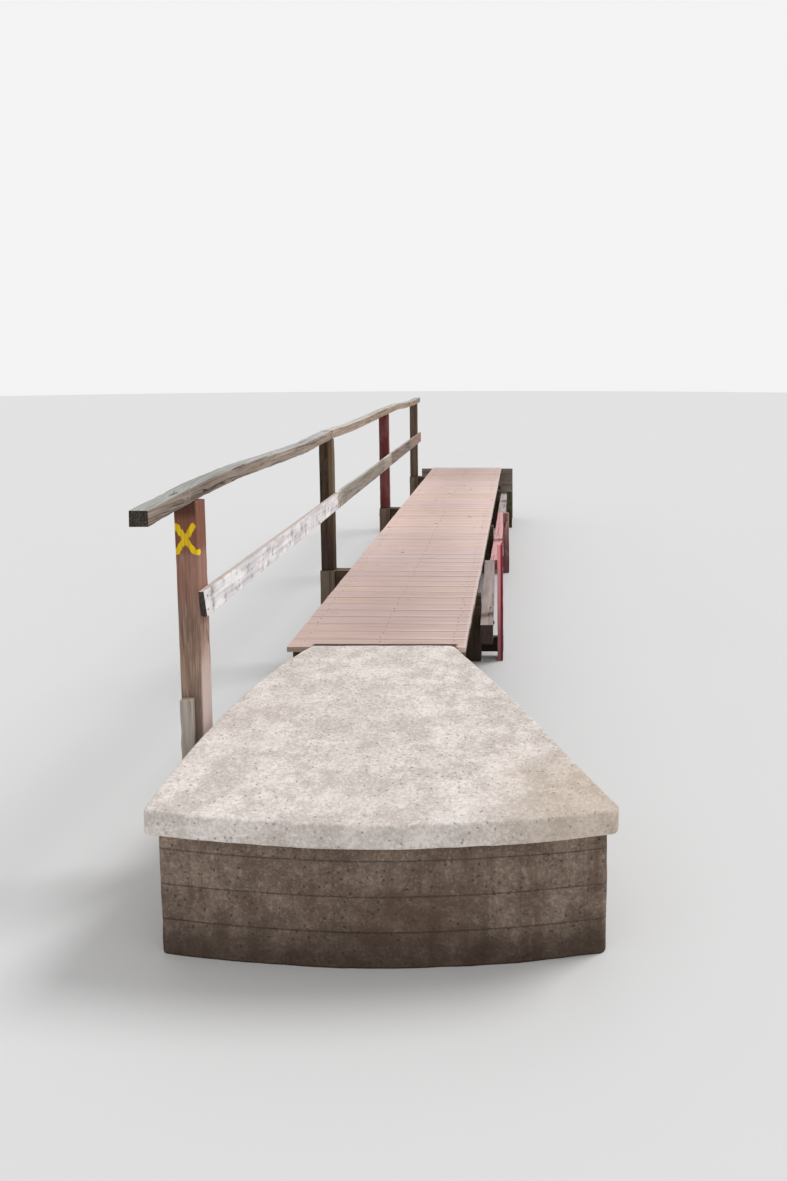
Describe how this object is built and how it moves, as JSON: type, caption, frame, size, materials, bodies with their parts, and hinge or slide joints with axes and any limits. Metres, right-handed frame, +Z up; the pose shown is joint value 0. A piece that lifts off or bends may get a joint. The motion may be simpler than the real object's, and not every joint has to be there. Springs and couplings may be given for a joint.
{
  "type": "timber footbridge",
  "caption": "Narrow timber footbridge on low piers, with a deck of cross boards, a post-and-rail railing on one side only, and a flared cast landing at its near end.",
  "frame": {"origin": "on the ground, midway between the deck's sides, below the deck's near edge", "axes": "+X across the bridge to the right of someone who walks onto it from the landing, +Y along the bridge to the far bank, +Z up"},
  "size_m": [1.944, 10.149, 1.817],
  "materials": {
    "concrete": "rough cast, pale, worn and stained",
    "soiled_concrete": "rough cast, stained brown by soil and water",
    "deck_board": "weathered pinkish tan boards",
    "grey_timber": "bare, silver-grey and weathered",
    "pale_timber": "whitish, flaking old coating",
    "brown_timber": "brown-grey, weathered",
    "dark_timber": "dark brown, stained and damp",
    "red_timber": "faded red paint, worn through in places"
  },
  "bodies": {
    "root": {"landing_slab": "concrete", "landing_footing": "soiled_concrete", "far_abutment": "soiled_concrete", "far_sill": "dark_timber", "retaining_planks": "grey_timber", "stringer_left": "dark_timber", "stringer_middle": "dark_timber", "stringer_right": "dark_timber", "deck_boards_1": "deck_board", "deck_boards_2": "deck_board", "deck_boards_3": "deck_board", "deck_boards_4": "deck_board", "deck_boards_5": "deck_board", "pier_1_legs": "dark_timber", "pier_1_cap": "dark_timber", "pier_1_bearer": "dark_timber", "pier_1_tie": "dark_timber", "pier_2_legs": "dark_timber", "pier_2_cap": "dark_timber", "pier_2_bearer": "dark_timber", "pier_2_tie": "dark_timber", "pier_3_legs": "dark_timber", "pier_3_cap": "dark_timber", "pier_3_bearer": "dark_timber", "pier_3_tie": "dark_timber", "left_pile_1": "grey_timber", "left_pile_2": "grey_timber", "left_pile_3": "grey_timber", "rail_post_1": "brown_timber", "rail_post_2": "dark_timber", "rail_post_3": "red_timber", "rail_post_4": "dark_timber", "old_stub": "pale_timber", "top_rail_near": "grey_timber", "top_rail_middle": "grey_timber", "top_rail_far": "grey_timber", "mid_rail_near": "pale_timber", "mid_rail_middle": "grey_timber", "mid_rail_far": "brown_timber", "left_side_beam_near": "grey_timber", "left_side_beam_far": "grey_timber", "right_side_beam_near": "grey_timber", "right_side_beam_far": "red_timber", "right_stub_1": "red_timber", "right_stub_2": "red_timber", "right_stub_3": "dark_timber"}
  },
  "joints": []
}
